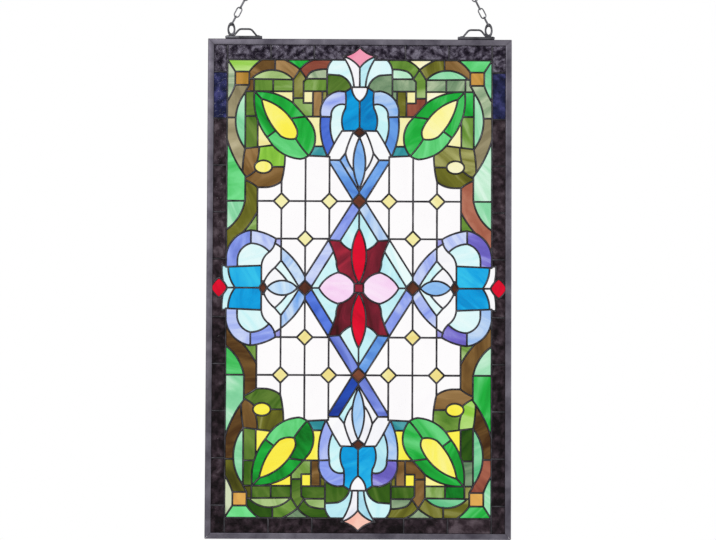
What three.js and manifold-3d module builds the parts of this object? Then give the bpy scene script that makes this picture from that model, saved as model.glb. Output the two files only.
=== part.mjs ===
// Hanging stained glass window: a copper-foil panel in a metal channel frame, on two chains and a ring.
// Millimetres, +Z up. The panel stands in the XZ plane and its front faces -Y.
// The origin is the top of the hanging ring's eye, where a hook carries the whole window.
import * as THREE from 'three';
import { mergeVertices } from 'three/addons/utils/BufferGeometryUtils.js';
import Module from 'manifold-3d';

const wasm = await Module();
wasm.setup();

// ---------- driving dimensions ----------
const PANEL_WIDTH = 500;
const PANEL_HEIGHT = 820;
const HANG_DROP = 445; // from the ring's eye down to the top of the frame
const GLASS_THICKNESS = 3;
const BEAD_THICKNESS = 5.5; // solder bead, both faces together
const SEAM_WIDTH = 3.8;
const GAP = 0.3; // between pieces that touch

const CHANNEL_FACE = 10; // visible width of the frame
const CHANNEL_DEPTH = 10;
const CHANNEL_SLOT_WIDTH = BEAD_THICKNESS + 2 * GAP;
const CHANNEL_SLOT_DEPTH = 6;

const EDGE_X = PANEL_WIDTH / 2 - CHANNEL_FACE + CHANNEL_SLOT_DEPTH - GAP; // edge of the glass, inside the channel
const EDGE_Z = PANEL_HEIGHT / 2 - CHANNEL_FACE + CHANNEL_SLOT_DEPTH - GAP;
const FIELD_X = 218; // the pattern inside the dark border
const FIELD_Z = 376;
const CENTRE_Z = -HANG_DROP - PANEL_HEIGHT / 2;

// lattice of clear tiles
const TILE_WIDTH = 39.4;
const TILE_X = [49, 49 + TILE_WIDTH, 49 + 2 * TILE_WIDTH, 49 + 3 * TILE_WIDTH];
const TILE_Z = [80.8, 142.7];
const TILE_STUD = 13; // centre to corner of the small yellow squares

// blue bands that cross at the jewels
const BAND_SLOPE = 1.61;
const BAND_OUTER = 158.6; // where the edges of a band would meet the upright axis
const BAND_INNER = 127.4;
const JEWEL = 12.5;
const AXIS_JEWEL_Z = TILE_Z[1];
const AXIS_JEWEL_X = TILE_X[1];

const BORDER_SIDE_FIRST = 47.5;
const BORDER_SIDE_PITCH = 77;
const BORDER_TOP_FIRST = 75;
const BORDER_TOP_PITCH = 71.5;

// hanging parts
const BRACKET_BAR = { from: 161, to: 222, height: 5, depth: 7 };
const ARCH = { footFrom: 166, footTo: 212, topFrom: 179, topTo: 200, height: 18, wire: 3.4 };
const EYE = { x: 212, bottom: 3.4, width: 13.4, height: 25, wire: 3.2 };
const HANG_RING = { inner: 10.5, wire: 3.6 };
const LINK = { length: 20, width: 10.6, wire: 2.3, overlap: 0.4, slack: 1.3 };

const OFF_AXIS = [0.4, 0.3];
const SLIVER = 4; // a smaller cell is solder, in square millimetres

// ---------- solids ----------
function toSolid(geometry) {
  const bare = geometry.clone();
  bare.deleteAttribute('normal');
  bare.deleteAttribute('uv');
  const merged = mergeVertices(bare, 1e-4);
  return new wasm.Manifold(new wasm.Mesh({
    numProp: 3,
    vertProperties: new Float32Array(merged.attributes.position.array),
    triVerts: new Uint32Array(merged.index.array),
  }));
}

function toGeometry(points, triangles) {
  const geometry = new THREE.BufferGeometry();
  geometry.setAttribute('position', new THREE.BufferAttribute(new Float32Array(points), 3));
  geometry.setIndex(Array.from(triangles));
  return geometry;
}

function solidToGeometry(solid) {
  const mesh = solid.getMesh();
  return toGeometry(mesh.vertProperties, mesh.triVerts);
}

// Joins neighbours pair by pair, which keeps each join small.
function joinAll(solids) {
  let row = solids;
  while (row.length > 1) {
    const next = [];
    for (let i = 0; i < row.length; i += 2) {
      next.push(i + 1 < row.length ? row[i].add(row[i + 1]) : row[i]);
    }
    row = next;
  }
  return row[0];
}

// The separate bodies of a solid, each as a geometry.
function bodiesOf(solid) {
  const { vertProperties: points, triVerts: triangles } = solid.getMesh();
  const parent = Array.from({ length: points.length / 3 }, (_, i) => i);
  const root = (i) => {
    while (parent[i] !== i) {
      parent[i] = parent[parent[i]];
      i = parent[i];
    }
    return i;
  };
  for (let t = 0; t < triangles.length; t += 3) {
    parent[root(triangles[t])] = root(triangles[t + 1]);
    parent[root(triangles[t + 1])] = root(triangles[t + 2]);
  }
  const groups = new Map();
  for (let t = 0; t < triangles.length; t += 3) {
    const key = root(triangles[t]);
    if (!groups.has(key)) groups.set(key, []);
    groups.get(key).push(triangles[t], triangles[t + 1], triangles[t + 2]);
  }
  return [...groups.values()].map((corners) => {
    const number = new Map();
    const own = [];
    const faces = corners.map((corner) => {
      if (!number.has(corner)) {
        number.set(corner, number.size);
        own.push(points[3 * corner], points[3 * corner + 1], points[3 * corner + 2]);
      }
      return number.get(corner);
    });
    return toGeometry(own, faces);
  });
}

// A flat outline in the panel's plane, given thickness through it.
function slab(outline, thickness) {
  const shape = new THREE.Shape(outline.map(([x, z]) => new THREE.Vector2(x, z)));
  const geometry = new THREE.ExtrudeGeometry(shape, { depth: thickness, bevelEnabled: false });
  return geometry.translate(0, 0, -thickness / 2).rotateX(Math.PI / 2);
}

function rectangle(halfWidth, halfHeight) {
  return [[-halfWidth, -halfHeight], [halfWidth, -halfHeight], [halfWidth, halfHeight], [-halfWidth, halfHeight]];
}

// ---------- seams ----------
const ARC_STEP = 28; // length of one chord of a curved seam

// A seam from a to b that stands `rise` to the left of the straight line at its middle.
function bow(a, b, rise = 0) {
  if (rise === 0) return [a, b];
  const chord = Math.hypot(b[0] - a[0], b[1] - a[1]);
  const radius = (chord * chord / 4 + rise * rise) / (2 * Math.abs(rise));
  const sweep = 2 * Math.asin(chord / 2 / radius);
  const steps = Math.max(2, Math.round(radius * sweep / ARC_STEP));
  const side = Math.sign(rise);
  const left = [-(b[1] - a[1]) / chord, (b[0] - a[0]) / chord];
  const centre = [0, 1].map((k) => (a[k] + b[k]) / 2 + left[k] * (rise - side * radius));
  const start = Math.atan2(a[1] - centre[1], a[0] - centre[0]);
  return Array.from({ length: steps + 1 }, (_, i) => {
    const angle = start - side * sweep * i / steps;
    return [centre[0] + radius * Math.cos(angle), centre[1] + radius * Math.sin(angle)];
  });
}

// Four seams round a jewel; a positive rise bulges them outwards.
function jewel(x, z, halfWidth, halfHeight, rise = 0) {
  const tips = [[x + halfWidth, z], [x, z + halfHeight], [x - halfWidth, z], [x, z - halfHeight]];
  return tips.map((tip, i) => bow(tip, tips[(i + 1) % 4], -rise));
}

function oval(x, z, halfWidth, halfHeight, steps) {
  return Array.from({ length: steps + 1 }, (_, i) => {
    const angle = 2 * Math.PI * i / steps;
    return [x + halfWidth * Math.cos(angle), z + halfHeight * Math.sin(angle)];
  });
}

// Every motif below is drawn in the upper right quarter, measured from the panel's centre.
function tileSeams() {
  const [x0, x1, x2, x3] = TILE_X;
  const [z0, z1] = TILE_Z;
  const s = TILE_STUD;
  return [
    bow([x0, 80], [x0, z1 - s]),
    bow([x0, z1 + s], [x0, 216]),
    bow([x1, 18.5], [x1, z0 - s]),
    bow([x1, z0 + s], [x1, 215]),
    bow([x2, 45], [x2, z1 - s]),
    bow([x2, z1 + s], [x2, 175]),
    bow([x3, 93], [x3, 165]),
    bow([JEWEL, z1], [x0 - s, z1]),
    bow([x0 + s, z1], [x2 - s, z1]),
    bow([x2 + s, z1], [x3, z1]),
    bow([x0, z0], [x1 - s, z0]),
    bow([x1 + s, z0], [136.5, z0]),
    ...jewel(x0, z1, s, s),
    ...jewel(x2, z1, s, s),
    ...jewel(x1, z0, s, s),
  ];
}

function bandSeams() {
  const inner = (x) => [x, BAND_INNER - BAND_SLOPE * x];
  const rising = (x, start) => [x, start + BAND_SLOPE * x];
  return [
    bow([11, 141], [AXIS_JEWEL_X, 18.5]),
    bow(inner(0), inner(31)),
    bow(inner(42), inner(78)),
    bow(rising(0, BAND_OUTER), rising(32, BAND_OUTER)),
    bow(rising(11, BAND_INNER), rising(TILE_X[0], BAND_INNER)),
    bow([32, 210.5], [TILE_X[0], 210.5]),
    ...jewel(0, AXIS_JEWEL_Z, JEWEL, JEWEL),
    ...jewel(AXIS_JEWEL_X, 0, JEWEL, JEWEL),
    bow([0, AXIS_JEWEL_Z + JEWEL], [0, 164]),
    bow([0, 98.5], [0, AXIS_JEWEL_Z - JEWEL]),
    bow([65.5, 0], [AXIS_JEWEL_X - JEWEL, 0]),
    bow([AXIS_JEWEL_X, JEWEL], [AXIS_JEWEL_X, 18.5]),
  ];
}

function flowerSeams() {
  const square = 7.5;
  return [
    bow([square, 0], [square, square]),
    bow([square, square], [0, square]),
    bow([0, square], [0, 98.5], -12),
    bow([11.5, 62], [31, 77.4], -2),
    bow([31, 77.4], [50, 79]),
    bow([50, 79], [37, 44], -1),
    bow([37, 44], [32.2, 25], 1.5),
    bow([square, square], [35, 25.5], 4),
    bow([35, 25.5], [65.5, 0], 4),
  ];
}

function lilySeams() {
  return [
    bow([0, 164], [0, 248], -10),
    bow([10.5, 256], [23, 222], 1),
    bow([23, 222], [9.5, 193], 2),
    bow([23, 222], [32, 210.5]),
    ...jewel(0, 256, 10.5, 8),
    bow([6, 259], [29, 258.5]),
    bow([29, 258.5], [52.5, 216], 1),
    bow([0, 264], [0, 307]),
    bow([13, 330.5], [0, 307], 3.5),
    bow([0, 331], [14, 331]),
    bow([13, 330.5], [23.5, 323.5]),
    bow([23.5, 323.5], [23.5, 296], -1),
    bow([23.5, 296], [26, 258.5], 4.5),
    bow([0, 331], [0, 363]),
    bow([9.5, 331], [28, 382], 4),
    bow([14, 331], [33, 350.5], 3.5),
    bow([33, 350.5], [53.8, 352]),
    bow([53.8, 352], [45, FIELD_Z], -3),
    bow([0, 397], [28, 382], -3),
    bow([28, 382], [0, 363], -3),
  ];
}

function topRingSeams() {
  return [
    bow([23.5, 323.5], [34, 324.3]),
    bow([34, 324.3], [64, 283], 11),
    bow([64, 283], [52.5, 216], 5),
    bow([23.5, 302], [46.8, 282], 8.5),
    bow([46.8, 282], [41.9, 237.3], 3.5),
    bow([46.8, 281.5], [64, 282]),
  ];
}

function trellisSeams() {
  return [
    bow([53.8, 360.5], [53.8, 315]),
    bow([61.5, 324], [61.5, 303]),
    bow([53.8, 324], [92.5, 324]),
    bow([53.8, 344.5], [88, 344.5]),
    bow([53.8, 360.5], [77, 357.5], 1),
    bow([77, 357.5], [88, 344.5], 2),
    bow([92.5, 304.5], [92.5, 340]),
    bow([92.5, 340], [88, 344.5]),
    bow([98.5, 360], [76, FIELD_Z], -2),
    bow([98.5, 360], [124, FIELD_Z], 1),
    bow([109.5, 343], [178, 344.5], 15),
    bow([109.5, 343], [182, 344]),
    bow([161, FIELD_Z], [182, 356], 1.5),
    bow([139.5, 358], [139.5, FIELD_Z]),
    bow([182, 334], [182, 356]),
    bow([182, 356], [205, 356]),
    bow([205, 334], [205, 356]),
    bow([182, 334], [205, 334]),
    bow([109.5, 304.5], [109.5, 343]),
    bow([98.5, 360], [88, 344.5]),
    bow([98.5, 360], [109.5, 343]),
    bow([142.5, 323.5], [142.5, 343.5]),
    bow([174, 323.5], [174, 344]),
    bow([92.5, 312.5], [109.5, 312.5]),
    bow([109.5, 323.5], [188, 323.5]),
    bow([182, 334], [188, 323.5]),
    bow([205, 356], [FIELD_X, FIELD_Z]),
    bow([205, 334], [FIELD_X, 307], -1),
    bow([77, 282], [77, 324]),
    bow([77, 304.5], [92.5, 304.5]),
  ];
}

function leafSeams() {
  return [
    bow([83.5, 217.5], [84, 276], 11),
    bow([84, 276], [109.5, 304.5]),
    bow([109.5, 304.5], [145, 321], 2),
    bow([145, 321], [173, 323.5], 1),
    bow([173, 323.5], [150, 245], 8.5),
    bow([150, 245], [97, 212], 8),
    bow([97, 212], [83.5, 217.5], 1),
    bow([161.5, 311], [103.5, 262], -8.8),
    bow([103.5, 262], [105, 245.5], -2),
    bow([105, 245.5], [129.5, 249.5], -2.5),
    bow([129.5, 249.5], [161.5, 311], -5.5),
    bow([89, 282], [113.3, 278.9]),
    bow([105, 245.5], [83.5, 217.5], 1),
    bow([137.8, 258.6], [152, 248]),
    bow([161.5, 311], [173, 323.5]),
    bow([64, 282], [89, 282]),
    bow([60, 233], [75, 233]),
    bow([49, 216], [83.5, 217.5]),
  ];
}

function vineSeams() {
  return [
    bow([167.5, 231.5], [167.5, 277]),
    bow([188, 229], [188, 323.5]),
    bow([170, 282.5], [188, 282.5]),
    bow([142.7, 234.6], [188, 229]),
    bow([188, 322], [188, 229], 16),
    bow([FIELD_X, 245], [186, 182], 3.5),
    bow([203.8, 280], [FIELD_X, 280]),
    bow([122.3, 218.6], [TILE_X[2], 175], -1.4),
    bow([TILE_X[2], 175], [155, 165], -2.5),
    bow([155, 165], [TILE_X[3], 165]),
    bow([TILE_X[3], 165], [187.5, 177], 1),
    bow([170.1, 193.3], [186, 182], -1),
    oval(158, 199, 14.5, 10.5, 10),
    bow([124, 199], [143.5, 199]),
    bow([165, 231.5], [168.5, 206.5], -1),
    bow([188, 229], [192, 190], 1),
    bow([TILE_X[3], 125], [191.2, 90.5], -1.5),
    bow([187.5, 183], [187.5, 145]),
    bow([187.5, 145], [FIELD_X, 95], -6),
    bow([187.5, TILE_Z[1]], [FIELD_X, TILE_Z[1]]),
  ];
}

function sideRingSeams() {
  return [
    bow([136.5, TILE_Z[0]], [177.5, 94.5], 2.5),
    bow([177.5, 94.5], [FIELD_X, 44], 13),
    bow([136.5, TILE_Z[0]], [147, 59], -2.5),
    bow([147, 59], [177.5, 73], 3.5),
    bow([177.5, 73], [199.5, 44], 6.5),
    bow([199.5, 44], [199.5, 35]),
    bow([177.5, 73], [177.5, 94.5]),
    bow([AXIS_JEWEL_X, 18.5], [138.5, 73.5], 5.5),
    bow([98.7, 2.2], [TILE_X[2], 45], 1),
    bow([TILE_X[2], 45], [138, 33]),
    bow([138, 33], [117, 10.5], -1),
    bow([138, 33], [155.8, 9.2], 2),
    bow([100.9, 0], [151, 0], 12),
    ...jewel(157.2, 0, 6.4, 11),
    bow([147, 59], [160, 36.5], 3),
    bow([160, 7], [160, 36.5]),
    bow([160, 36.5], [FIELD_X, 34]),
    bow([214.5, 34], [203, 0], 3),
    bow([163.6, 0], [216, 0]),
    bow([FIELD_X, 35.5], [224.5, 37]),
    bow([224.5, 37], [222.8, 11], 1),
    ...jewel(229.5, 0, 13.5, 16.5, 1.5),
  ];
}

function borderSeams() {
  const side = [0, 1, 2, 3, 4].map((k) => BORDER_SIDE_FIRST + k * BORDER_SIDE_PITCH);
  const top = [0, 1, 2].map((k) => BORDER_TOP_FIRST + k * BORDER_TOP_PITCH);
  return [
    bow([FIELD_X, 34], [FIELD_X, FIELD_Z]),
    bow([24.3, FIELD_Z], [FIELD_X, FIELD_Z]),
    ...side.map((z) => bow([FIELD_X, z], [EDGE_X, z])),
    ...top.map((x) => bow([x, FIELD_Z], [x, EDGE_Z])),
  ];
}

// ---------- the leaded network and its cells ----------
const quarterSeams = [
  ...tileSeams(), ...bandSeams(), ...flowerSeams(), ...lilySeams(), ...topRingSeams(),
  ...trellisSeams(), ...leafSeams(), ...vineSeams(), ...sideRingSeams(), ...borderSeams(),
];

// The copies of a quarter's seam or piece in the other quarters; what lies on an axis isn't doubled.
function quarters([x, z]) {
  const sides = Math.abs(x) < 0.01 ? [1] : [1, -1];
  const levels = Math.abs(z) < 0.01 ? [1] : [1, -1];
  return levels.flatMap((level) => sides.map((side) => [side, level]));
}

function allQuarters(seam) {
  const farthest = [0, 1].map((k) => Math.max(...seam.map((point) => Math.abs(point[k]))));
  return quarters(farthest).map(([side, level]) => {
    const copy = seam.map(([x, z]) => [side * x, level * z]);
    return side * level > 0 ? copy : copy.reverse();
  });
}

// One seam as a flat strip with square ends.
function strip(seam, halfWidth, thickness) {
  const closed = Math.hypot(seam[0][0] - seam.at(-1)[0], seam[0][1] - seam.at(-1)[1]) < 0.01;
  const corners = seam.map(([x, z], i) => {
    const before = seam[i - 1] ?? (closed ? seam.at(-2) : [x, z]);
    const after = seam[i + 1] ?? (closed ? seam[1] : [x, z]);
    const arriving = new THREE.Vector2(x - before[0], z - before[1]).normalize();
    const leaving = new THREE.Vector2(after[0] - x, after[1] - z).normalize();
    const along = arriving.clone().add(leaving).normalize();
    const reach = halfWidth / Math.max(along.dot(arriving), along.dot(leaving));
    return { left: [x - along.y * reach, z + along.x * reach], right: [x + along.y * reach, z - along.x * reach] };
  });
  const left = corners.map((corner) => corner.left);
  const right = corners.map((corner) => corner.right);
  if (!closed) return toSolid(slab([...left, ...right.reverse()], thickness));
  const outer = toSolid(slab(right.slice(1), thickness));
  return outer.subtract(toSolid(slab(left.slice(1), 2 * thickness)));
}

function network(halfWidth) {
  const seams = quarterSeams.flatMap(allQuarters);
  return joinAll(seams.map((seam) => strip(seam, halfWidth, 4 * BEAD_THICKNESS)));
}

// Area seen from the front: every upright prism shows it twice.
function flatArea(geometry) {
  const points = geometry.attributes.position;
  const faces = geometry.index;
  let twice = 0;
  for (let t = 0; t < faces.count; t += 3) {
    const [a, b, c] = [0, 1, 2].map((k) => new THREE.Vector2(points.getX(faces.getX(t + k)), points.getZ(faces.getX(t + k))));
    twice += Math.abs(b.sub(a).cross(c.sub(a))) / 2;
  }
  return twice / 2;
}

// The glass cells between the seams, each as a prism through the panel.
function cells(halfWidth, thickness) {
  const sheet = toSolid(slab(rectangle(EDGE_X, EDGE_Z), thickness));
  return bodiesOf(sheet.subtract(network(halfWidth))).filter((cell) => flatArea(cell) > SLIVER);
}

// True where the point lies on the front face of a piece. It is tested a little off the axes, where edges run.
function covers(geometry, at) {
  const [x, z] = at.map((value, k) => value + OFF_AXIS[k]);
  const points = geometry.attributes.position;
  const faces = geometry.index;
  for (let t = 0; t < faces.count; t += 3) {
    const corner = [0, 1, 2].map((k) => faces.getX(t + k));
    const turns = corner.map((from, k) => {
      const to = corner[(k + 1) % 3];
      const alongX = points.getX(to) - points.getX(from);
      const alongZ = points.getZ(to) - points.getZ(from);
      return alongX * (z - points.getZ(from)) - alongZ * (x - points.getX(from));
    });
    if (turns.every((turn) => turn > 0) || turns.every((turn) => turn < 0)) return true;
  }
  return false;
}

// ---------- materials ----------
function glass(colour) {
  return new THREE.MeshStandardMaterial({ color: colour, roughness: 0.12, metalness: 0 });
}

const SOLDER = new THREE.MeshStandardMaterial({ color: 0x3b3a3c, roughness: 0.5, metalness: 0.6 });
const FRAME_METAL = new THREE.MeshStandardMaterial({ color: 0x5f5a64, roughness: 0.5, metalness: 0.7 });
const CHAIN_METAL = new THREE.MeshStandardMaterial({ color: 0x4a4a4e, roughness: 0.4, metalness: 0.9 });

// ---------- panel ----------
// Pieces of glass that are solids of their own, each found by a point inside it in the upper right quarter.
const PANES = [
  { name: 'glass_centre', at: [0, 0], colour: 0xb01030 },
  { name: 'petal_red', at: [0, 50], colour: 0xeb002d },
  { name: 'petal_maroon', at: [28, 50], colour: 0x641e32 },
  { name: 'petal_pink', at: [40, 0], colour: 0xf8d7f5 },
  { name: 'jewel_upright', at: [0, AXIS_JEWEL_Z], colour: 0x784632 },
  { name: 'jewel_side', at: [AXIS_JEWEL_X, 0], colour: 0x784632 },
  { name: 'bud_upright', at: [0, 206], colour: 0xa5c8f0 },
  { name: 'bud_side', at: [126, 0], colour: 0xa5c8f0 },
  { name: 'star_pink', at: [0, 382], colour: 0xf5a0b0 },
  { name: 'star_red', at: [229.5, 0], colour: 0xdc0a28 },
  { name: 'leaf_heart', at: [130, 272], colour: 0xfaf55a },
  { name: 'lobe_upright', at: [12, 295], colour: 0x0fa5e1 },
  { name: 'lobe_side', at: [180, 20], colour: 0x0fa5e1 },
  { name: 'petal_white', at: [34, 235], colour: 0xf4f6f8 },
  { name: 'petal_side', at: [150, 35], colour: 0xf4f6f8 },
  { name: 'petal_sky', at: [30, 366], colour: 0xcdf5fa },
  { name: 'scroll_eye', at: [158, 199], colour: 0xfaf596 },
];
const SHOWN_CELL = 1000; // a smaller cell stays level with the solder, in square millimetres

function placed(name, geometry, material) {
  const mesh = new THREE.Mesh(geometry, material);
  mesh.name = name;
  return mesh;
}

function quarterName(name, side, level, [x, z]) {
  const upright = z === 0 ? '' : level > 0 ? '_top' : '_bottom';
  const sideways = x === 0 ? '' : side > 0 ? '_right' : '_left';
  return `${name}${upright}${sideways}`;
}

function buildPanel() {
  const panel = new THREE.Group();
  const wanted = PANES.flatMap((pane) => quarters(pane.at).map(([side, level]) => ({
    ...pane,
    name: quarterName(pane.name, side, level, pane.at),
    at: [side * pane.at[0], level * pane.at[1]],
  })));
  const loose = cells(SEAM_WIDTH / 2 + GAP, GLASS_THICKNESS);
  for (const pane of wanted) {
    const geometry = loose.find((piece) => covers(piece, pane.at));
    panel.add(placed(pane.name, geometry, glass(pane.colour)));
  }
  const recessFloor = -GLASS_THICKNESS / 2;
  const pockets = cells(SEAM_WIDTH / 2, 4 * BEAD_THICKNESS).flatMap((cell) => {
    if (wanted.some((pane) => covers(cell, pane.at))) return [toSolid(cell)];
    return flatArea(cell) > SHOWN_CELL ? [toSolid(cell.translate(0, recessFloor - 2 * BEAD_THICKNESS, 0))] : [];
  });
  const sheet = toSolid(slab(rectangle(EDGE_X, EDGE_Z), BEAD_THICKNESS));
  const lattice = sheet.subtract(joinAll(pockets));
  panel.add(placed('solder_lattice', solidToGeometry(lattice), SOLDER));
  return panel;
}

// ---------- frame ----------
// A channel lies along X at the top of a panel of the given half sizes, open downwards, mitred at both ends.
function channel(halfLength, halfSpan) {
  const back = CHANNEL_DEPTH / 2;
  const slot = CHANNEL_SLOT_WIDTH / 2;
  const lip = halfSpan - CHANNEL_FACE;
  const seat = lip + CHANNEL_SLOT_DEPTH;
  const profile = new THREE.Shape([
    [-back, lip], [-slot, lip], [-slot, seat], [slot, seat],
    [slot, lip], [back, lip], [back, halfSpan], [-back, halfSpan],
  ].map(([y, z]) => new THREE.Vector2(y, z)));
  const bar = new THREE.ExtrudeGeometry(profile, { depth: 2 * halfLength, bevelEnabled: false });
  bar.translate(0, 0, -halfLength).applyMatrix4(new THREE.Matrix4().makeBasis(
    new THREE.Vector3(0, 1, 0), new THREE.Vector3(0, 0, 1), new THREE.Vector3(1, 0, 0)));
  const outer = halfLength - GAP / Math.SQRT2;
  const inner = outer - 2 * CHANNEL_FACE;
  const bottom = halfSpan - 2 * CHANNEL_FACE;
  const mitre = slab([[-inner, bottom], [inner, bottom], [outer, halfSpan], [-outer, halfSpan]], 2 * CHANNEL_DEPTH);
  return solidToGeometry(toSolid(bar).intersect(toSolid(mitre)));
}

function buildFrame() {
  const frame = new THREE.Group();
  const halfWidth = PANEL_WIDTH / 2;
  const halfHeight = PANEL_HEIGHT / 2;
  ['top', 'right', 'bottom', 'left'].forEach((side, turn) => {
    const [length, span] = turn % 2 === 0 ? [halfWidth, halfHeight] : [halfHeight, halfWidth];
    const rail = placed(`channel_${side}`, channel(length, span), FRAME_METAL);
    rail.rotation.y = turn * Math.PI / 2;
    frame.add(rail);
  });
  return frame;
}

// ---------- brackets, chains and ring ----------
function ring(halfWidth, halfHeight, wire, sides) {
  const outer = toSolid(slab(oval(0, 0, halfWidth, halfHeight, sides).slice(1), wire));
  const inner = toSolid(slab(oval(0, 0, halfWidth - wire, halfHeight - wire, sides).slice(1), 2 * wire));
  return outer.subtract(inner);
}

function buildBracket() {
  const { from, to, height, depth } = BRACKET_BAR;
  const bar = slab([[from, GAP], [to, GAP], [to, height], [from, height]], depth);
  const arch = (inset) => slab([
    [ARCH.footFrom + inset, height / 2], [ARCH.footTo - inset, height / 2],
    [ARCH.topTo - inset / 2, ARCH.height - inset], [ARCH.topFrom + inset / 2, ARCH.height - inset],
  ], inset ? 2 * ARCH.wire : ARCH.wire);
  const handle = toSolid(arch(0)).subtract(toSolid(arch(ARCH.wire)));
  const eye = solidToGeometry(ring(EYE.width / 2, EYE.height / 2, EYE.wire, 10));
  eye.translate(EYE.x, 0, EYE.bottom + EYE.height / 2);
  return solidToGeometry(toSolid(bar).add(handle).add(toSolid(eye)));
}

// A straight leg of interlocking links from the hanging ring down to the eye of one bracket.
function buildChain() {
  const bearingX = EYE.x;
  const bearingZ = -HANG_DROP + EYE.bottom + EYE.height - EYE.wire - LINK.slack;
  const centreZ = -HANG_RING.inner;
  const distance = Math.hypot(bearingX, bearingZ - centreZ);
  const span = distance - HANG_RING.inner + LINK.slack;
  const count = 2 * Math.round((span / (LINK.length - 2 * LINK.wire) - 1) / 2) + 1;
  const pitch = span / count;
  const length = pitch + 2 * LINK.wire - LINK.overlap;
  const hole = toSolid(slab(rectangle(LINK.width / 2 - LINK.wire, length / 2 - LINK.wire), 2 * LINK.wire));
  const link = toSolid(slab(rectangle(LINK.width / 2, length / 2), LINK.wire)).subtract(hole);
  const links = Array.from({ length: count }, (_, i) => {
    const piece = solidToGeometry(link);
    if (i % 2 === 0) piece.rotateZ(Math.PI / 2);
    return toSolid(piece.translate(0, 0, LINK.slack - HANG_RING.inner - pitch * (i + 0.5)));
  });
  const leg = solidToGeometry(joinAll(links));
  return leg.rotateY(-Math.atan2(bearingX, centreZ - bearingZ)).translate(0, 0, centreZ);
}

function mirrorLeft(geometry) {
  const copy = geometry.clone().scale(-1, 1, 1);
  const faces = copy.index;
  for (let t = 0; t < faces.count; t += 3) {
    const first = faces.getX(t);
    faces.setX(t, faces.getX(t + 1));
    faces.setX(t + 1, first);
  }
  return copy;
}

function buildHanging() {
  const hanging = new THREE.Group();
  const bracket = buildBracket().translate(0, 0, -HANG_DROP);
  const chain = buildChain();
  hanging.add(placed('bracket_right', bracket, CHAIN_METAL));
  hanging.add(placed('bracket_left', mirrorLeft(bracket), CHAIN_METAL));
  hanging.add(placed('chain_right', chain, CHAIN_METAL));
  hanging.add(placed('chain_left', mirrorLeft(chain), CHAIN_METAL));
  const reach = HANG_RING.inner + HANG_RING.wire;
  const hangRing = solidToGeometry(ring(reach, reach, HANG_RING.wire, 16)).translate(0, 0, -HANG_RING.inner);
  hanging.add(placed('hang_ring', hangRing, CHAIN_METAL));
  return hanging;
}

const window3d = new THREE.Group();
const panel = buildPanel();
const frame = buildFrame();
for (const assembly of [panel, frame]) {
  assembly.position.z = CENTRE_Z;
  window3d.add(assembly);
}
window3d.add(buildHanging());
export default window3d;
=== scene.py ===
"""Visual model of a hanging stained glass window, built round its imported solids.

The pattern is drawn once, for the upper right quarter of the panel, in millimetres from the panel's centre.
Seams become rounded solder beads, and the cells between them become panes of art glass.
"""

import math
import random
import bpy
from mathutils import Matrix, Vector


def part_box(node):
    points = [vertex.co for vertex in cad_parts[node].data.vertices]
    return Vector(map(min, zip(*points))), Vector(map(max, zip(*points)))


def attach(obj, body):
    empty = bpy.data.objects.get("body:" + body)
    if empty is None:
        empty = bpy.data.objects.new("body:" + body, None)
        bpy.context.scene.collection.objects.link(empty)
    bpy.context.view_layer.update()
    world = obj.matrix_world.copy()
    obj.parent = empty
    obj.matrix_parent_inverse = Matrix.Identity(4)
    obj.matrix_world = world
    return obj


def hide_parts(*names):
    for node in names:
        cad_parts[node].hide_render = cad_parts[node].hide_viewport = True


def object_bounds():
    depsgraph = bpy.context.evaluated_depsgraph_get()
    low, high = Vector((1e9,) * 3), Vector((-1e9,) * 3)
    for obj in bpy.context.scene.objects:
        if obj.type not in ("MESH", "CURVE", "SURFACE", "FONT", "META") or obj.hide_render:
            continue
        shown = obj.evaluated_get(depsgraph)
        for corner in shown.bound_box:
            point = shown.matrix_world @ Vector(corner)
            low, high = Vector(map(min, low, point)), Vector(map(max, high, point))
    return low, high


bl_info = {
    "name": "Stained Glass Window",
    "version": (1, 0, 0),
    "blender": (4, 5, 0),
    "location": "View3D > Sidebar > Stained Glass",
    "description": "Builds a leaded glass panel that hangs on two chains",
    "category": "Add Mesh",
}

import bmesh
import bpy
from mathutils import Matrix, Vector
from mathutils.geometry import delaunay_2d_cdt

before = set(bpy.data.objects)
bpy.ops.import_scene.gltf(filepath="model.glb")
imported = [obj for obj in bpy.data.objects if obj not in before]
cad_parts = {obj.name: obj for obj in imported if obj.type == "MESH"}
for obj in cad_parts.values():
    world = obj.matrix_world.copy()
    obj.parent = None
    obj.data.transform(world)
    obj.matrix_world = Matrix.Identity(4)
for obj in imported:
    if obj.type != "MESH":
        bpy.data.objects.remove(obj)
CAD_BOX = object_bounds()
MM = 0.001

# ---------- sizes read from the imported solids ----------
CHANNEL_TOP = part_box("channel_top")
CHANNEL_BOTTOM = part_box("channel_bottom")
CHANNEL_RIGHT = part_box("channel_right")
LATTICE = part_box("solder_lattice")
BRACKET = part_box("bracket_right")
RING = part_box("hang_ring")
HALF_WIDTH = CHANNEL_RIGHT[1][0]
HALF_HEIGHT = (CHANNEL_TOP[1][2] - CHANNEL_BOTTOM[0][2]) / 2
CENTRE_Z = (CHANNEL_TOP[1][2] + CHANNEL_BOTTOM[0][2]) / 2
CHANNEL_FACE = CHANNEL_TOP[1][2] - CHANNEL_TOP[0][2]
CHANNEL_DEPTH = CHANNEL_TOP[1][1] - CHANNEL_TOP[0][1]
BEAD_THICKNESS = LATTICE[1][1] - LATTICE[0][1]
EDGE_X = LATTICE[1][0] / MM
EDGE_Z = (LATTICE[1][2] - CENTRE_Z) / MM

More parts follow.
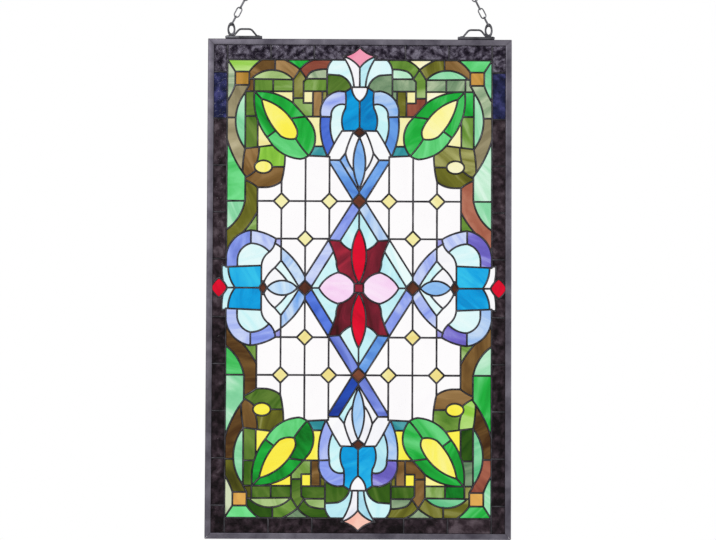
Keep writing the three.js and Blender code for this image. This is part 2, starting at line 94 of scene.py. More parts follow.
# ---------- frame, brackets and chains ----------
FRAME_GAP = 0.3 * MM  # what the solids keep from each other
SLOT_DEPTH = 6 * MM
EDGE_ROUND = 1.4 * MM
SHARP_ANGLE = math.radians(35)
BAR_HEIGHT = 4.7 * MM
BAR_ROUND = 0.3 * BAR_HEIGHT
BLOB_LEVEL = 0.75 * BAR_HEIGHT
HANDLE_HEIGHT = 17.7 * MM
HANDLE_FOOT = (168 * MM, 210 * MM)
HANDLE_TOP = (179.5 * MM, 199 * MM)
HANDLE_BEND = 4 * MM
BEND_STEPS = 6
EYE_X = 212 * MM
EYE_WIDTH = 13.4 * MM
EYE_WIRE = 3.2 * MM
EYE_SEAT = 3.1 * MM
LINK_COUNT = 29
LINK_WIDTH = 10.6 * MM
LINK_SLACK = 1.3 * MM
LINK_BITE = 0.4 * MM
SNUG = 0.97  # how much of the solids' depth rounded solder fills

# solder blobs on a bracket: place along it, and size in millimetres
SOLDER_BLOBS = ((HANDLE_FOOT[0], 3.2), (EYE_X, 4.2), (BRACKET[1][0] - 4 * MM, 2.6))
BLOB_SPREAD = 1.5
BLOB_RISE = 0.8

# ---------- light and camera ----------
# name, place, watts and diameter
STUDIO_LIGHTS = (
    ("key_light", (-1.6, -2.4, 0.6), 30.0, 1.6),
    ("fill_light", (2.2, -1.8, -0.4), 12.0, 2.0),
    ("back_light", (0.8, 2.4, 0.4), 20.0, 2.0),
)
SENSOR_WIDTH = 36.0
AIM_X = -1.5 * MM
AIM_Z = 29.8 * MM
CAMERA_RISE = math.radians(2.0)
CAMERA_ROLL = math.radians(0.27)

# ---------- pattern, in millimetres ----------
FIELD_X = 218
FIELD_Z = 376
TILE_WIDTH = 39.4
TILE_X = [49 + TILE_WIDTH * k for k in range(4)]
TILE_Z = [80.8, 142.7]
TILE_STUD = 13
BAND_SLOPE = 1.61
BAND_OUTER = 158.6
BAND_INNER = 127.4
JEWEL = 12.5
AXIS_JEWEL_Z = TILE_Z[1]
AXIS_JEWEL_X = TILE_X[1]
BORDER_SIDE_FIRST = 47.5
BORDER_SIDE_PITCH = 77
BORDER_TOP_FIRST = 75
BORDER_TOP_PITCH = 71.5
ARC_STEP = 5
OVAL_STEPS = 20
KNOT_SPACING = 12  # between the uneven spots of a straight bead
OVERRUN = 1.6  # a seam runs on this far when the cells are cut, so that none stays open
SLIVER = 6  # a smaller cell is solder, in square millimetres
NEAR = 0.01  # what is closer than this is in the same place
CUT_MERGE = 1e-4  # corners closer than this are joined when the cells are cut
POINT_SHIFT = (0.3, 0.2)  # moves the point that names a pane off the lines through it


def bow(a, b, rise=0.0):
    """A seam from a to b that stands rise to the left of the straight line at its middle."""
    if rise == 0:
        return [a, b]
    chord = math.dist(a, b)
    radius = (chord * chord / 4 + rise * rise) / (2 * abs(rise))
    sweep = 2 * math.asin(chord / 2 / radius)
    steps = max(2, math.ceil(radius * sweep / ARC_STEP))
    side = math.copysign(1, rise)
    left = (-(b[1] - a[1]) / chord, (b[0] - a[0]) / chord)
    centre = [(a[k] + b[k]) / 2 + left[k] * (rise - side * radius) for k in (0, 1)]
    start = math.atan2(a[1] - centre[1], a[0] - centre[0])
    angles = [start - side * sweep * i / steps for i in range(steps + 1)]
    return [(centre[0] + radius * math.cos(t), centre[1] + radius * math.sin(t)) for t in angles]


def run(start, *stops):
    """Seams one after another, from start to each stop: a point and, where the seam bows, its rise."""
    seams = []
    for x, z, *rise in stops:
        seams.append(bow(start, (x, z), *rise))
        start = (x, z)
    return seams


def jewel(x, z, half_width, half_height, rise=0.0):
    """Four seams round a jewel; a positive rise bulges them outwards."""
    tips = [(x + half_width, z), (x, z + half_height), (x - half_width, z), (x, z - half_height)]
    return [bow(tip, tips[(i + 1) % 4], -rise) for i, tip in enumerate(tips)]


def oval(x, z, half_width, half_height):
    """A closed oval seam."""
    angles = [2 * math.pi * i / OVAL_STEPS for i in range(OVAL_STEPS + 1)]
    return [(x + half_width * math.cos(t), z + half_height * math.sin(t)) for t in angles]


def tile_seams():
    """Clear tiles with small square jewels at every other crossing."""
    x0, x1, x2, x3 = TILE_X
    z0, z1 = TILE_Z
    s = TILE_STUD
    return [
        bow((x0, 80), (x0, z1 - s)),
        bow((x0, z1 + s), (x0, 216)),
        bow((x1, 18.5), (x1, z0 - s)),
        bow((x1, z0 + s), (x1, 215)),
        bow((x2, 45), (x2, z1 - s)),
        bow((x2, z1 + s), (x2, 175)),
        bow((x3, 93), (x3, 165)),
        bow((JEWEL, z1), (x0 - s, z1)),
        bow((x0 + s, z1), (x2 - s, z1)),
        bow((x2 + s, z1), (x3, z1)),
        bow((x0, z0), (x1 - s, z0)),
        bow((x1 + s, z0), (136.5, z0)),
        *jewel(x0, z1, s, s),
        *jewel(x2, z1, s, s),
        *jewel(x1, z0, s, s),
    ]


def band_seams():
    """Blue bands that cross at four jewels on the axes."""
    def inner(x):
        return (x, BAND_INNER - BAND_SLOPE * x)

    def rising(x, start):
        return (x, start + BAND_SLOPE * x)

    return [
        bow((11, 141), (AXIS_JEWEL_X, 18.5)),
        bow(inner(0), inner(31)),
        bow(inner(42), inner(78)),
        bow(rising(0, BAND_OUTER), rising(32, BAND_OUTER)),
        bow(rising(11, BAND_INNER), rising(TILE_X[0], BAND_INNER)),
        bow((32, 210.5), (TILE_X[0], 210.5)),
        *jewel(0, AXIS_JEWEL_Z, JEWEL, JEWEL),
        *jewel(AXIS_JEWEL_X, 0, JEWEL, JEWEL),
        bow((0, AXIS_JEWEL_Z + JEWEL), (0, 164)),
        bow((0, 98.5), (0, AXIS_JEWEL_Z - JEWEL)),
        bow((65.5, 0), (AXIS_JEWEL_X - JEWEL, 0)),
        bow((AXIS_JEWEL_X, JEWEL), (AXIS_JEWEL_X, 18.5)),
    ]


def flower_seams():
    """The flower in the middle: two red, four maroon and two pink petals."""
    square = 7.5
    return [
        *run((square, 0), (square, square), (0, square), (0, 98.5, -12)),
        *run((11.5, 62), (31, 77.4, -2), (50, 79), (37, 44, -1), (32.2, 25, 1.5)),
        *run((square, square), (35, 25.5, 4), (65.5, 0, 4)),
    ]


def lily_seams():
    """The lily above the crossing bands, up to the pink star at the edge."""
    return [
        bow((0, 164), (0, 248), -10),
        *run((10.5, 256), (23, 222, 1), (9.5, 193, 2)),
        bow((23, 222), (32, 210.5)),
        *jewel(0, 256, 10.5, 8),
        *run((6, 259), (29, 258.5), (52.5, 216, 1)),
        bow((0, 264), (0, 307)),
        bow((13, 330.5), (0, 307), 3.5),
        bow((0, 331), (14, 331)),
        *run((13, 330.5), (23.5, 323.5), (23.5, 296, -1), (26, 258.5, 4.5)),
        bow((0, 331), (0, 363)),
        bow((9.5, 331), (28, 382), 4),
        *run((14, 331), (33, 350.5, 3.5), (53.8, 352), (45, FIELD_Z, -3)),
        *run((0, 397), (28, 382, -3), (0, 363, -3)),
    ]


def top_ring_seams():
    """The pale ring round the upper lily."""
    return [
        *run((23.5, 323.5), (34, 324.3), (64, 283, 11), (52.5, 216, 5)),
        *run((23.5, 302), (46.8, 282, 8.5), (41.9, 237.3, 3.5)),
        bow((46.8, 281.5), (64, 282)),
    ]


def trellis_seams():
    """Green blocks along the top."""
    return [
        bow((53.8, 360.5), (53.8, 315)),
        bow((61.5, 324), (61.5, 303)),
        bow((53.8, 324), (92.5, 324)),
        bow((53.8, 344.5), (88, 344.5)),
        *run((53.8, 360.5), (77, 357.5, 1), (88, 344.5, 2)),
        *run((92.5, 304.5), (92.5, 340), (88, 344.5)),
        bow((98.5, 360), (76, FIELD_Z), -2),
        bow((98.5, 360), (124, FIELD_Z), 1),
        bow((109.5, 343), (178, 344.5), 15),
        bow((109.5, 343), (182, 344)),
        bow((161, FIELD_Z), (182, 356), 1.5),
        bow((139.5, 358), (139.5, FIELD_Z)),
        *run((182, 334), (182, 356), (205, 356)),
        bow((205, 334), (205, 356)),
        bow((182, 334), (205, 334)),
        bow((109.5, 304.5), (109.5, 343)),
        bow((98.5, 360), (88, 344.5)),
        bow((98.5, 360), (109.5, 343)),
        bow((142.5, 323.5), (142.5, 343.5)),
        bow((174, 323.5), (174, 344)),
        bow((92.5, 312.5), (109.5, 312.5)),
        bow((109.5, 323.5), (188, 323.5)),
        bow((182, 334), (188, 323.5)),
        bow((205, 356), (FIELD_X, FIELD_Z)),
        bow((205, 334), (FIELD_X, 307), -1),
        bow((77, 282), (77, 324)),
        bow((77, 304.5), (92.5, 304.5)),
    ]


def leaf_seams():
    """The large leaf that points at the corner, with its yellow heart."""
    return [
        *run((83.5, 217.5), (84, 276, 11), (109.5, 304.5), (145, 321, 2), (173, 323.5, 1),
             (150, 245, 8.5), (97, 212, 8), (83.5, 217.5, 1)),
        *run((161.5, 311), (103.5, 262, -8.8), (105, 245.5, -2), (129.5, 249.5, -2.5), (161.5, 311, -5.5)),
        bow((89, 282), (113.3, 278.9)),
        bow((105, 245.5), (83.5, 217.5), 1),
        bow((137.8, 258.6), (152, 248)),
        bow((161.5, 311), (173, 323.5)),
        bow((64, 282), (89, 282)),
        bow((60, 233), (75, 233)),
        bow((49, 216), (83.5, 217.5)),
    ]


def vine_seams():
    """The vine with its scroll, and the green blocks down the side."""
    return [
        bow((167.5, 231.5), (167.5, 277)),
        bow((188, 229), (188, 323.5)),
        bow((170, 282.5), (188, 282.5)),
        bow((142.7, 234.6), (188, 229)),
        bow((188, 322), (188, 229), 16),
        bow((FIELD_X, 245), (186, 182), 3.5),
        bow((203.8, 280), (FIELD_X, 280)),
        *run((122.3, 218.6), (TILE_X[2], 175, -1.4), (155, 165, -2.5), (TILE_X[3], 165), (187.5, 177, 1)),
        bow((170.1, 193.3), (186, 182), -1),
        oval(158, 199, 14.5, 10.5),
        bow((124, 199), (143.5, 199)),
        bow((165, 231.5), (168.5, 206.5), -1),
        bow((188, 229), (192, 190), 1),
        bow((TILE_X[3], 125), (191.2, 90.5), -1.5),
        *run((187.5, 183), (187.5, 145), (FIELD_X, 95, -6)),
        bow((187.5, TILE_Z[1]), (FIELD_X, TILE_Z[1])),
    ]


def side_ring_seams():
    """The lily and ring at the side, with the red star."""
    return [
        *run((136.5, TILE_Z[0]), (177.5, 94.5, 2.5), (FIELD_X, 44, 13)),
        *run((136.5, TILE_Z[0]), (147, 59, -2.5), (177.5, 73, 3.5), (199.5, 44, 6.5), (199.5, 35)),
        bow((177.5, 73), (177.5, 94.5)),
        bow((AXIS_JEWEL_X, 18.5), (138.5, 73.5), 5.5),
        *run((98.7, 2.2), (TILE_X[2], 45, 1), (138, 33), (117, 10.5, -1)),
        bow((138, 33), (155.8, 9.2), 2),
        bow((100.9, 0), (151, 0), 12),
        *jewel(157.2, 0, 6.4, 11),
        bow((147, 59), (160, 36.5), 3),
        *run((160, 7), (160, 36.5), (FIELD_X, 34)),
        bow((214.5, 34), (203, 0), 3),
        bow((163.6, 0), (216, 0)),
        *run((FIELD_X, 35.5), (224.5, 37), (222.8, 11, 1)),
        *jewel(229.5, 0, 13.5, 16.5, 1.5),
    ]


def border_seams():
    """The dark border, cut into even lengths."""
    side = [BORDER_SIDE_FIRST + k * BORDER_SIDE_PITCH for k in range(5)]
    top = [BORDER_TOP_FIRST + k * BORDER_TOP_PITCH for k in range(3)]
    return [
        bow((FIELD_X, 34), (FIELD_X, FIELD_Z)),
        bow((24.3, FIELD_Z), (FIELD_X, FIELD_Z)),
        *[bow((FIELD_X, z), (EDGE_X, z)) for z in side],
        *[bow((x, FIELD_Z), (x, EDGE_Z)) for x in top],
    ]


def pane(x, z, *cuts, node=""):
    """One pane and its mirrored copies, given by a point inside it in the upper right quarter.

    A cut names the sheet, and its dark or light end where the pane comes from there. One cut serves all four
    quarters, and two are for the upper and lower half. Four run upper right, upper left, lower right, lower
    left. node is what its solids are called, where they have their own.
    """
    return {"at": (x, z), "cuts": [cut for cut in cuts for _ in range(4 // len(cuts))], "node": node}


def flower_panes():
    """Middle flower and the bands and jewels round it."""
    return [
        pane(0, 0, "maroon light", node="glass_centre"),
        pane(0, 50, "ruby", node="petal_red"),
        pane(28, 50, "maroon", "maroon light", "maroon", "maroon dark", node="petal_maroon"),
        pane(40, 0, "pink", node="petal_pink"),
        pane(0, AXIS_JEWEL_Z, "umber", node="jewel_upright"),
        pane(AXIS_JEWEL_X, 0, "umber dark", node="jewel_side"),
        pane(0, 206, "sky dark", "sky", node="bud_upright"),
        pane(126, 0, "sky", "sky light", "sky", "sky light", node="bud_side"),
        pane(53, 27, "ice"),
        pane(13, 90, "ice"),
        pane(17, 194, "frost", "azure", "frost", "ice"),
        pane(120, 24, "ice light"),
        pane(23, 180, "azure", "azure", "band dark", "cobalt dark"),
        pane(23, 107, "azure light", "band", "azure", "band dark"),
        pane(65, 39, "ice light", "band light", "band", "cobalt light"),
        pane(109, 33, "band light", "azure light", "band light", "azure light"),
    ]


def lily_panes():
    """Upper lily, its ring and the star at the edge."""
    return [
        pane(0, 382, "rose", "salmon", node="star_pink"),
        pane(30, 366, "ice light", "ice", node="petal_sky"),
        pane(9, 352, "ice", "frost light", "ice dark", "frost"),
        pane(0, 322, "frost light"),
        pane(13, 228, "frost light", "frost"),
        pane(34, 235, "frost light", node="petal_white"),
        pane(0, 256, "umber dark"),
        pane(12, 295, "turquoise dark", "turquoise", "turquoise", "turquoise", node="lobe_upright"),
        pane(37, 275, "ice", "ice light", "ice dark", "ice"),
        pane(45, 305, "azure light", "band light", "violet", "band"),
        pane(54, 253, "azure", "cobalt light", "azure light", "band"),
    ]


def side_lily_panes():
    """Side lily, its ring and the red star."""
    return [
        pane(229.5, 0, "ruby", node="star_red"),
        pane(180, 20, "turquoise light", "turquoise", node="lobe_side"),
        pane(150, 35, "frost light", node="petal_side"),
        pane(136, 22, "frost light"),
        pane(176, 53, "ice light"),
        pane(158, 79, "band light", "band light", "violet", "band"),
        pane(200, 65, "violet", "band", "azure light", "band light"),
        pane(132, 75, "violet light"),
        pane(157, 0, "umber dark"),
        pane(217, 18, "frost light", "ice", "frost light", "ice"),
    ]


def tile_panes():
    """Straw jewels among the tiles; the tiles are cut from DEFAULT_GLASS, as is every pane not named."""
    spots = [(TILE_X[0], TILE_Z[1]), (TILE_X[2], TILE_Z[1]), (TILE_X[1], TILE_Z[0])]
    return [pane(x, z, "straw", "straw dark") for x, z in spots]


def leaf_panes():
    """Corner leaf in greens round a yellow heart."""
    return [
        pane(130, 272, "lemon light", "lemon", "lemon", "lemon dark", node="leaf_heart"),
        pane(71, 260, "straw", "lemon"),
        pane(85, 314, "straw", "lemon"),
        pane(123, 318.5, "straw light", "straw", "lemon light", "lemon"),
        pane(158, 245, "straw", "lemon"),
        pane(90, 253, "leaf", "leaf", "leaf light", "leaf dark"),
        pane(119, 233, "leaf light"),
        pane(128, 303, "leaf", "leaf", "leaf", "leaf dark"),
        pane(160, 282, "leaf", "leaf", "leaf", "leaf dark"),
        pane(180, 302, "leaf", "forest light", "sage dark", "forest"),
        pane(177, 255, "fern", "forest light", "forest dark", "forest light"),
        pane(67, 224, "teal"),
    ]


def trellis_panes():
    """Green and brown blocks along the top, and the amber square in the corner."""
    return [
        pane(100, 371, "straw light", "leaf", "sage dark", "sage dark"),
        pane(66, 368, "fern", "rust dark", "olive", "forest"),
        pane(101, 330, "fern", "olive light", "bark", "forest light"),
        pane(118, 361, "olive", "bark light", "olive", "fern"),
        pane(160, 363, "bark light", "bark", "olive", "forest dark"),
        pane(192, 367, "leaf light", "lime light", "leaf", "leaf light"),
        pane(37, 336, "sage dark", "forest light", "forest", "forest"),
        pane(66, 351, "mint light", "sage light", "sage", "fern light"),
        pane(73, 334, "sage", "fern", "forest", "forest"),
        pane(145, 351, "mint", "fern light", "mint dark", "fern light"),
        pane(127, 334, "sage", "fern", "fern", "forest"),
        pane(158, 334, "sage", "fern dark", "leaf dark", "forest"),
        pane(177, 334, "sage light", "bark", "olive light", "olive dark"),
        pane(194, 345, "amber dark", "amber"),
        pane(213, 342, "mint dark", "sage light", "mint", "sage light"),
        pane(58, 317, "sage dark", "olive light", "olive", "olive"),
        pane(69, 303, "olive", "bark light", "bark", "bark"),
        pane(92, 298, "rust dark", "fern light", "bark dark", "fern light"),
    ]


def vine_panes():
    """Brown vine with its scroll, and the green blocks down the side."""
    return [
        pane(158, 199, "straw light", "lemon light", "lemon", "lemon", node="scroll_eye"),
        pane(140, 222, "olive light", "lime", "fern", "olive"),
        pane(178, 212, "olive light", "bark", "lime", "bark"),
        pane(150, 180, "olive", "bark", "bark light", "forest light"),
        pane(185, 119, "rust", "olive", "bark", "bark dark"),
        pane(173, 103, "fern"),
        pane(195, 275, "mint", "mint", "mint dark", "mint"),
        pane(204, 309, "sage", "sand dark", "rust dark", "olive dark"),
        pane(210, 262, "sand dark", "sand", "bark dark", "bark dark"),
        pane(205, 178, "mint light", "leaf light", "leaf", "mint"),
        pane(206, 125, "mint", "mint", "mint light", "leaf light"),
    ]


def border_panes():
    """Dark border of pebbled glass: lengths along the top, then down the side from the corner."""
    # the upper lengths take the sheet with painted glints, so the border is painted lighter at the top than
    # at the bottom
    top = [(111, "night dark"), (182, "night light")]
    side = [(390, "dark_with_painted_glints"), (317, "navy"), (240, "night"), (163, "night"), (86, "night")]
    return [
        pane(0, 400, "dark_with_painted_glints", "night dark"),
        *[pane(x, 390, "dark_with_painted_glints", "dark_with_painted_glints", lower_right, "night dark") for x, lower_right in top],
        *[pane(234, z, upper, "night dark") for z, upper in side],
        pane(244.5, 0, "night"),
    ]


QUARTER_SEAMS = [
    *tile_seams(), *band_seams(), *flower_seams(), *lily_seams(), *top_ring_seams(),
    *trellis_seams(), *leaf_seams(), *vine_seams(), *side_ring_seams(), *border_seams(),
]
QUARTER_PANES = [
    *flower_panes(), *lily_panes(), *side_lily_panes(), *tile_panes(), *leaf_panes(),
    *trellis_panes(), *vine_panes(), *border_panes(),
]
DEFAULT_GLASS = "clear"
SHEET_ENDS = {"dark": 0.25, "": 0.5, "light": 0.75}
TONE_SPREAD = 0.07  # two panes from the same end of a sheet differ by up to twice this
STREAK_SHIFT = 3  # how far the streaks of a pane may be moved, in metres


# ---------- sheets of glass ----------
def glass_sheet(dark, middle, light, streaks, swing, slot):
    """A sheet with its three tones, how close its streaks lie and how far they swing the tone."""
    return {"tones": (dark, middle, light), "streaks": streaks, "swing": swing, "slot": "glass_" + slot}


SHEETS = {
    "clear": glass_sheet("#F9F6F9", "#FFFDFE", "#FFFFFF", 9, 0.6, "clear"),
    "frost": glass_sheet("#CBD4E8", "#F5F5FA", "#FFFFFF", 34, 0.6, "clear"),
    "ice": glass_sheet("#96CDE6", "#C8F4F8", "#F2FEFD", 30, 0.6, "cyan"),
    "sky": glass_sheet("#5A96E1", "#9BC8F5", "#DCEEFA", 30, 0.6, "sky"),
    "azure": glass_sheet("#285AB9", "#6EA5EB", "#D7E8F8", 28, 0.7, "sky"),
    "band": glass_sheet("#3C50B4", "#8C9FEE", "#DAE4FB", 28, 0.7, "violet"),
    "cobalt": glass_sheet("#142378", "#2850B9", "#5F82E6", 28, 0.6, "violet"),
    "violet": glass_sheet("#3C2D8C", "#786ECD", "#C8CDF8", 32, 0.8, "violet"),
    "turquoise": glass_sheet("#0064AA", "#0AA0E1", "#3CCDF0", 34, 0.7, "turquoise"),
    "teal": glass_sheet("#0F5F6E", "#32919B", "#82C8C8", 30, 0.6, "turquoise"),
    "ruby": glass_sheet("#780A1E", "#E1062D", "#F5284A", 34, 0.4, "red"),
    "maroon": glass_sheet("#321010", "#6E1C2C", "#A5283C", 36, 0.8, "maroon"),
    "pink": glass_sheet("#EBAFE4", "#F9D7F5", "#FEF2FD", 26, 0.7, "pink"),
    "rose": glass_sheet("#E66E96", "#F291AF", "#FAC8D2", 26, 0.5, "peach"),
    "salmon": glass_sheet("#F09B8C", "#FAC3B2", "#FFE1D4", 26, 0.5, "peach"),
    "umber": glass_sheet("#321E16", "#6E3C2A", "#AA7050", 40, 0.6, "brown"),
    "bark": glass_sheet("#3C220C", "#7A5A2E", "#B08C5C", 30, 0.8, "brown"),
    "rust": glass_sheet("#6E2D23", "#A5604B", "#CD9178", 30, 0.7, "brown"),
    "sand": glass_sheet("#6E6446", "#AFA582", "#E1D7B9", 26, 0.7, "brown"),
    "amber": glass_sheet("#A07828", "#D7A050", "#FAC864", 30, 0.6, "pale_yellow"),
    "straw": glass_sheet("#EBD26E", "#F6F0AE", "#FDFBE0", 30, 0.5, "pale_yellow"),
    "lemon": glass_sheet("#FADC0F", "#FCF254", "#FCF8BE", 20, 0.5, "yellow"),
    "lime": glass_sheet("#50961E", "#91CD46", "#D2EBA0", 26, 0.7, "yellow"),
    "leaf": glass_sheet("#0A6419", "#1EAF3C", "#7DE696", 22, 0.7, "green"),
    "mint": glass_sheet("#4BB478", "#91DCAA", "#DCF8E6", 24, 0.8, "pale_green"),
    "sage": glass_sheet("#466E4B", "#8CA582", "#D2DCB9", 34, 0.9, "pale_green"),
    "fern": glass_sheet("#32640F", "#6E963C", "#BED796", 28, 0.8, "olive"),
    "forest": glass_sheet("#143C05", "#375F14", "#6E8C3C", 28, 0.8, "olive"),
    "olive": glass_sheet("#37370A", "#6E6E23", "#AFAF6E", 26, 0.9, "olive"),
    # dark pebbled glass whose lighter, high-contrast mottle is painted glints: painted reflections of light
    # on its bumps
    "dark_with_painted_glints": glass_sheet("#140C1C", "#4E4656", "#8E8898", 130, 2.2, "border"),
    "navy": glass_sheet("#101024", "#2A2F5A", "#565694", 90, 1.4, "border"),
    "night": glass_sheet("#140C10", "#3E3038", "#6E6068", 90, 1.4, "border"),
}
PEBBLED = ("dark_with_painted_glints", "navy", "night")
SMOOTH_FACE = {"stretch": 0.3, "twist": 1.4, "clarity": 1.0,
               "grain": 55.0, "wander": 0.6, "relief": 0.25, "depth": 0.0012}
PEBBLED_FACE = {"stretch": 0.8, "twist": 0.2, "clarity": 0.6,
                "grain": 220.0, "wander": 0.0, "relief": 0.7, "depth": 0.0015}


# ---------- small helpers ----------
def linear(code):
    """A hex colour as linear red, green, blue and alpha."""
    levels = [int(code[k:k + 2], 16) / 255 for k in (1, 3, 5)]
    return [c / 12.92 if c <= 0.04045 else ((c + 0.055) / 1.055) ** 2.4 for c in levels] + [1.0]


def quarters(at):
    """The copies of a point or seam in the other quarters; what lies on an axis isn't doubled."""
    sides = (1,) if abs(at[0]) < NEAR else (1, -1)
    levels = (1,) if abs(at[1]) < NEAR else (1, -1)
    return [(side, level) for level in levels for side in sides]


def mirrored_seams():
    """Every seam of the whole panel."""
    seams = []
    for seam in QUARTER_SEAMS:
        reach = [max(abs(point[k]) for point in seam) for k in (0, 1)]
        for side, level in quarters(reach):
            seams.append([(side * x, level * z) for x, z in seam])
    return seams


def is_closed(seam):
    """True for an oval."""
    return math.dist(seam[0], seam[-1]) < NEAR


def finished(name, mesh, material, nodes=()):
    """Links a finished mesh and says which solids it stands for."""
    piece = bpy.data.objects.new(name, mesh)
    bpy.context.scene.collection.objects.link(piece)
    mesh.materials.clear()
    mesh.materials.append(material)
    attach(piece, "root")
    if nodes:
        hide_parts(*nodes)
    return piece


def mesh_of(bm, name, smooth=True):
    """Ends a bmesh and gives its mesh, with the normals outwards."""
    bmesh.ops.recalc_face_normals(bm, faces=bm.faces)
    mesh = bpy.data.meshes.new(name)
    bm.to_mesh(mesh)
    bm.free()
    for polygon in mesh.polygons:
        polygon.use_smooth = smooth
    return mesh


def wires_mesh(name, wires, radius, sides, cyclic=False):
    """Round wires along lists of (point, radius factor), as one mesh with closed ends."""
    curve = bpy.data.curves.new(name, "CURVE")
    curve.dimensions = "3D"
    curve.bevel_depth = radius
    curve.bevel_resolution = sides // 2 - 2
    curve.use_fill_caps = True
    for wire in wires:
        spline = curve.splines.new("POLY")
        spline.points.add(len(wire) - 1)
        spline.use_cyclic_u = cyclic
        for knot, (point, factor) in zip(spline.points, wire):
            knot.co = (*point, 1.0)
            knot.radius = factor
    holder = bpy.data.objects.new(name, curve)
    bpy.context.scene.collection.objects.link(holder)
    bpy.context.view_layer.update()
    mesh = bpy.data.meshes.new_from_object(holder.evaluated_get(bpy.context.evaluated_depsgraph_get()))
    bpy.data.objects.remove(holder)
    bpy.data.curves.remove(curve)
    for polygon in mesh.polygons:
        polygon.use_smooth = True
    return mesh


def vertices_in(geometry):
    """The vertices in what an operator gave back."""
    return [element for element in geometry if isinstance(element, bmesh.types.BMVert)]


def add_mesh(bm, mesh):
    """Adds a mesh to a bmesh and frees it."""
    bm.from_mesh(mesh)
    bpy.data.meshes.remove(mesh)


def rounded(corners, bend):
    """A line with its inner corners eased over a length of bend on either side."""
    points = [Vector(corner) for corner in corners]
    line = [points[0]]
    for before, corner, after in zip(points, points[1:], points[2:]):
        a = corner + (before - corner).normalized() * bend
        b = corner + (after - corner).normalized() * bend
        steps = [k / BEND_STEPS for k in range(BEND_STEPS + 1)]
        line += [a * (1 - t) ** 2 + corner * (2 * t * (1 - t)) + b * t ** 2 for t in steps]
    return [*line, points[-1]]


def add_ring(bm, reach, wire, steps):
    """A round wire ring that stands in the XZ plane, with its outer radius; gives its vertices."""
    known = set(bm.verts)
    turn = Matrix.Translation((reach - wire / 2, 0, 0))
    section = bmesh.ops.create_circle(bm, segments=12, radius=wire / 2, matrix=turn)["verts"]
    edges = list({edge for vert in section for edge in vert.link_edges})
    bmesh.ops.spin(bm, geom=[*section, *edges], cent=(0, 0, 0), axis=(0, 1, 0), angle=2 * math.pi,
                   steps=steps, use_merge=True)
    return [vert for vert in bm.verts if vert not in known]


def add_link(bm, length, width, wire):
    """A chain link with straight sides and round ends, upright in the XZ plane; gives its vertices."""
    known = set(bm.verts)
    reach = length / 2 - width / 2
    place = Matrix.Translation((width / 2 - wire / 2, 0, reach))
    section = bmesh.ops.create_circle(bm, segments=10, radius=wire / 2, matrix=place)["verts"]
    loop = [*section, *{edge for vert in section for edge in vert.link_edges}]
    for sign in (1, -1):
        bend = bmesh.ops.spin(bm, geom=loop, cent=(0, 0, sign * reach), axis=(0, -1, 0),
                              angle=math.pi, steps=8)
        rim = [element for element in bend["geom_last"] if isinstance(element, bmesh.types.BMEdge)]
        loop = bmesh.ops.extrude_edge_only(bm, edges=rim)["geom"]
        ends = vertices_in(loop)
        bmesh.ops.translate(bm, verts=ends, vec=(0, 0, -2 * sign * reach))
        loop = [*ends, *{e for vert in ends for e in vert.link_edges if e.other_vert(vert) in ends}]
    made = [vert for vert in bm.verts if vert not in known]
    bmesh.ops.remove_doubles(bm, verts=made, dist=wire / 100)
    return [vert for vert in bm.verts if vert not in known]


# ---------- materials ----------
class Recipe:
    """A node material with one Principled shader, built step by step."""

    def __init__(self, name):
        self.material = bpy.data.materials.new(name)
        self.material.use_nodes = True
        self.nodes = self.material.node_tree.nodes
        self.links = self.material.node_tree.links
        self.shader = self.nodes["Principled BSDF"]
        self.place = self.nodes.new("ShaderNodeTexCoord").outputs["Object"]

    def add(self, kind, values=(), **settings):
        """A node with its settings, and its inputs set or linked by name or number."""
        node = self.nodes.new(kind)
        for key, value in settings.items():
            setattr(node, key, value)
        for key, value in dict(values).items():
            if isinstance(value, bpy.types.NodeSocket):
                self.links.new(value, node.inputs[key])
            else:
                node.inputs[key].default_value = value
        return node

    def noise(self, place, scale, detail=3.0, distortion=0.0, rough=0.5):
        """Fractal noise read at a place."""
        values = {"Vector": place, "Scale": scale, "Detail": detail, "Distortion": distortion,
                  "Roughness": rough}
        return self.add("ShaderNodeTexNoise", values).outputs["Fac"]

    def math(self, operation, a, b=0.0, c=0.0):
        """One sum, product or the like."""
        return self.add("ShaderNodeMath", {0: a, 1: b, 2: c}, operation=operation).outputs[0]

    def ramp(self, factor, stops):
        """Colour by a factor between (position, colour) stops."""
        node = self.add("ShaderNodeValToRGB", {"Fac": factor})
        ramp = node.color_ramp
        while len(ramp.elements) < len(stops):
            ramp.elements.new(0.5)
        for element, (position, colour) in zip(ramp.elements, stops):
            element.position = position
            element.color = colour
        return node.outputs["Color"]

    def bump(self, height, strength, distance):
        """Relief on the surface from a height."""
        values = {"Height": height, "Strength": strength, "Distance": distance}
        self.link(self.add("ShaderNodeBump", values).outputs["Normal"], "Normal")

    def link(self, socket, name):
        """Feeds a socket of the shader."""
        self.links.new(socket, self.shader.inputs[name])

    def set(self, **values):
        """Plain values on the shader; an underscore stands for a space."""
        for key, value in values.items():
            self.shader.inputs[key.replace("_", " ")].default_value = value


